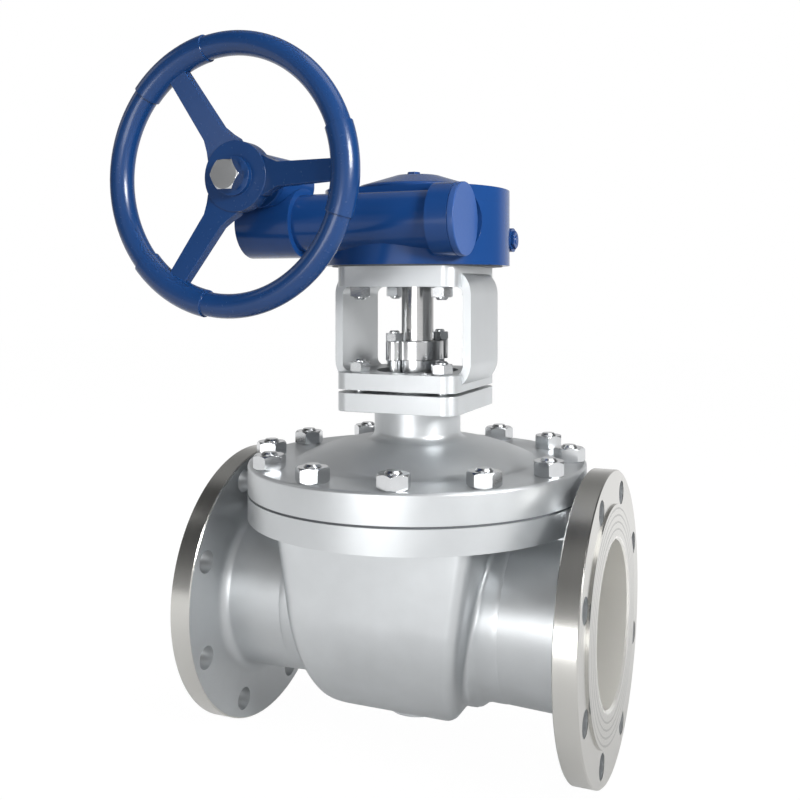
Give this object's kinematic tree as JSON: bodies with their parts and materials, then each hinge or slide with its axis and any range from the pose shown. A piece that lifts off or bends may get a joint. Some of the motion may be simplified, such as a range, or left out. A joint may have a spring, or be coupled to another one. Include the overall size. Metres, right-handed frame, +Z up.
{
  "type": "trunnion ball valve",
  "caption": "Flanged top entry ball valve with a bolted bonnet, an open stem bracket and a worm gearbox turned by a spoked handwheel.",
  "frame": {"origin": "where the pipe axis meets the stem axis, in the middle of the ball", "axes": "+X along the pipe, +Z up the stem, -Y towards the handwheel"},
  "size_m": [0.4375, 0.345, 0.6772],
  "materials": {
    "casting": "blasted stainless casting with a satin sheen",
    "bracket_casting": "blasted and pickled steel",
    "polished_steel": "turned and polished",
    "fastener_steel": "bright stainless",
    "gear_steel": "cut and oiled steel",
    "bronze": "turned bronze",
    "seat_plastic": "filled white seat plastic",
    "rubber": "black rubber",
    "graphite": "dark graphite sheet",
    "gearbox_paint": "gloss blue paint on cast iron",
    "end_cap_paint": "gloss blue paint on a flat turned cap",
    "wheel_paint": "smooth blue paint"
  },
  "bodies": {
    "valve": {"valve_body": "casting", "bonnet_gasket": "graphite", "bonnet": "casting", "bonnet_studs": "fastener_steel", "bonnet_nuts": "fastener_steel", "lower_bush": "bronze", "upper_bush": "bronze", "seat_ring_left": "seat_plastic", "seat_ring_right": "seat_plastic", "seat_springs": "fastener_steel", "seat_o_rings": "rubber", "stem_washer": "seat_plastic", "packing_rings": "seat_plastic", "gland_bush": "fastener_steel", "gland_flange": "polished_steel", "gland_studs": "fastener_steel", "gland_nuts": "fastener_steel", "bracket": "bracket_casting", "bracket_lower_studs": "fastener_steel", "bracket_lower_nuts": "fastener_steel", "bracket_upper_studs": "fastener_steel", "bracket_upper_nuts": "fastener_steel", "base_gasket": "graphite", "gearbox_housing": "gearbox_paint", "gearbox_cover": "gearbox_paint", "cover_screws": "fastener_steel", "gearbox_cap": "gearbox_paint", "breather_plug": "gearbox_paint", "stop_screws": "gearbox_paint", "stop_nuts": "gearbox_paint", "worm_bearings": "gear_steel", "worm_end_cap": "end_cap_paint", "input_gear_case": "gearbox_paint", "case_bush": "bronze", "input_bushes": "bronze", "input_seal_plate": "gearbox_paint"},
    "ball_and_stem": {"ball": "polished_steel", "stem": "polished_steel", "sector_gear": "gear_steel", "sector_key": "gear_steel"},
    "worm": {"worm_shaft": "gear_steel", "worm_input_gear": "gear_steel", "worm_gear_key": "gear_steel"},
    "wheel": {"input_gear": "gear_steel", "input_shaft": "polished_steel", "input_gear_key": "gear_steel", "wheel_key": "gear_steel", "handwheel": "wheel_paint", "handwheel_washer": "fastener_steel", "handwheel_nut": "fastener_steel"}
  },
  "joints": [
    {"name": "ball_turn", "type": "hinge", "parent": "valve", "child": "ball_and_stem", "pos_m": [0, 0, 0.2], "axis": [0, 0, 1], "range_deg": [-90, 0]},
    {"name": "worm_spin", "type": "hinge", "parent": "valve", "child": "worm", "pos_m": [0, -0.075, 0.372], "axis": [1, 0, 0], "range_deg": [0, 3600]},
    {"name": "handwheel_spin", "type": "hinge", "parent": "valve", "child": "wheel", "pos_m": [-0.113, -0.165, 0.41], "axis": [0, -1, 0], "range_deg": [-3600, 0]}
  ],
  "couplings": [
    {"joint": "worm_spin", "follows": "ball_turn", "ratio": -40},
    {"joint": "handwheel_spin", "follows": "ball_turn", "ratio": 40}
  ]
}
